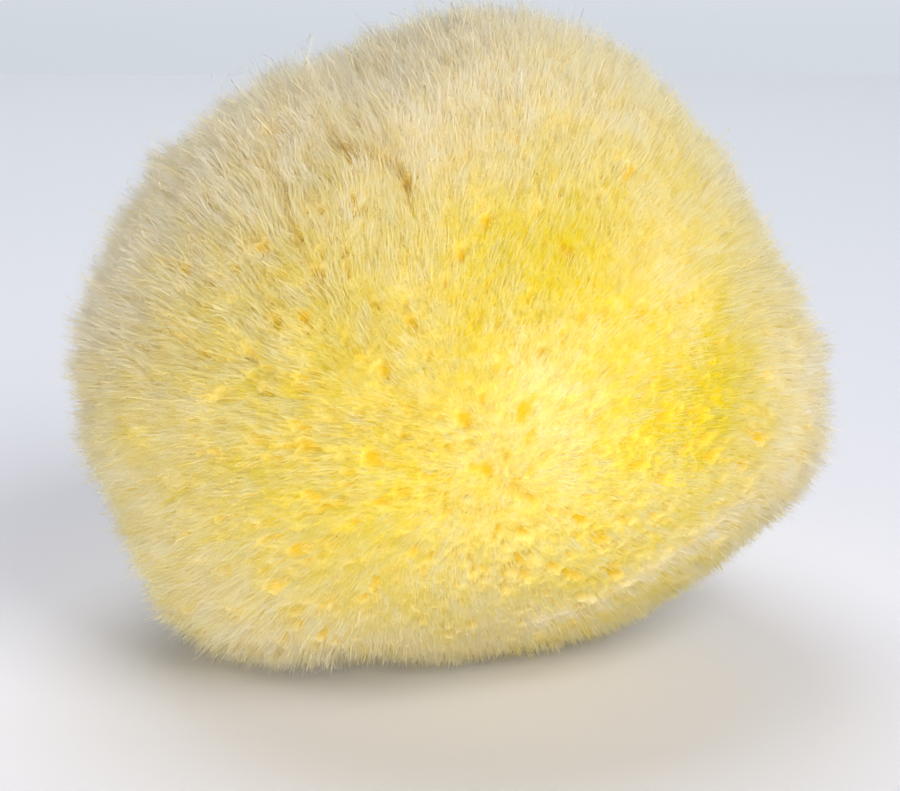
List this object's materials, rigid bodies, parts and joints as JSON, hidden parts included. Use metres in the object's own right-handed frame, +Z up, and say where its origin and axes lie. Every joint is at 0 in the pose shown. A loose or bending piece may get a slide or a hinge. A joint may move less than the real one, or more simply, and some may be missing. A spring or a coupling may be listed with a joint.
{
  "type": "sea sponge",
  "caption": "Natural silk sea sponge: a soft rounded lump with a fine velvety nap and small pores, bleached yellow and trimmed flat underneath.",
  "frame": {"origin": "on the surface it stands on, under the middle of its outer box", "axes": "+Z up, -Y towards the side that shows the swirl and the hooked crease, +X towards the lower of the two shoulders"},
  "size_m": [0.094, 0.0846, 0.0781],
  "materials": {
    "sponge_fibre": "matt springy sponge fibre, bleached pale yellow at the tips and deeper yellow in the pores"
  },
  "bodies": {
    "root": {"sponge": "sponge_fibre"}
  },
  "joints": []
}
